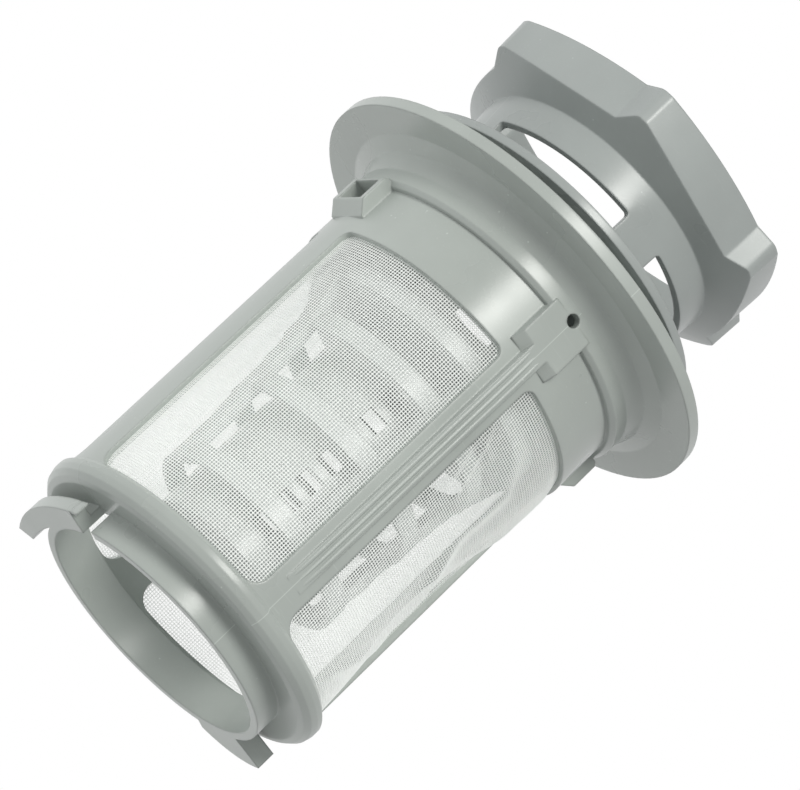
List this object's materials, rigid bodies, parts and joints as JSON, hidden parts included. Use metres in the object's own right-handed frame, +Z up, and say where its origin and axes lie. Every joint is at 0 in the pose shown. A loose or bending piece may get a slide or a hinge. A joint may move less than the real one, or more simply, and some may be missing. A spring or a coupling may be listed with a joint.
{
  "type": "microfilter",
  "caption": "Mesh-walled dishwasher filter cylinder with a wide flange, clip struts and bayonet spigot, holding a lift-out coarse filter with a lobed grip and slotted tube.",
  "frame": {"origin": "on the cylinder's axis, in the plane of the spigot's bottom edge", "axes": "+Z up along the axis towards the grip; -Y through the plain strut with its round hole; +X and -X through the clip struts"},
  "size_m": [0.092, 0.092, 0.1315],
  "materials": {
    "frame_plastic": "satin",
    "mesh_fabric": "matte",
    "insert_plastic": "satin"
  },
  "bodies": {
    "filter_cylinder": {"filter_frame": "frame_plastic", "filter_mesh": "mesh_fabric"},
    "coarse_filter": {"coarse_filter": "insert_plastic"}
  },
  "joints": [
    {"name": "coarse_filter_lift", "type": "slide", "parent": "filter_cylinder", "child": "coarse_filter", "axis": [0, 0, 1], "range_m": [0, 0.09]}
  ]
}
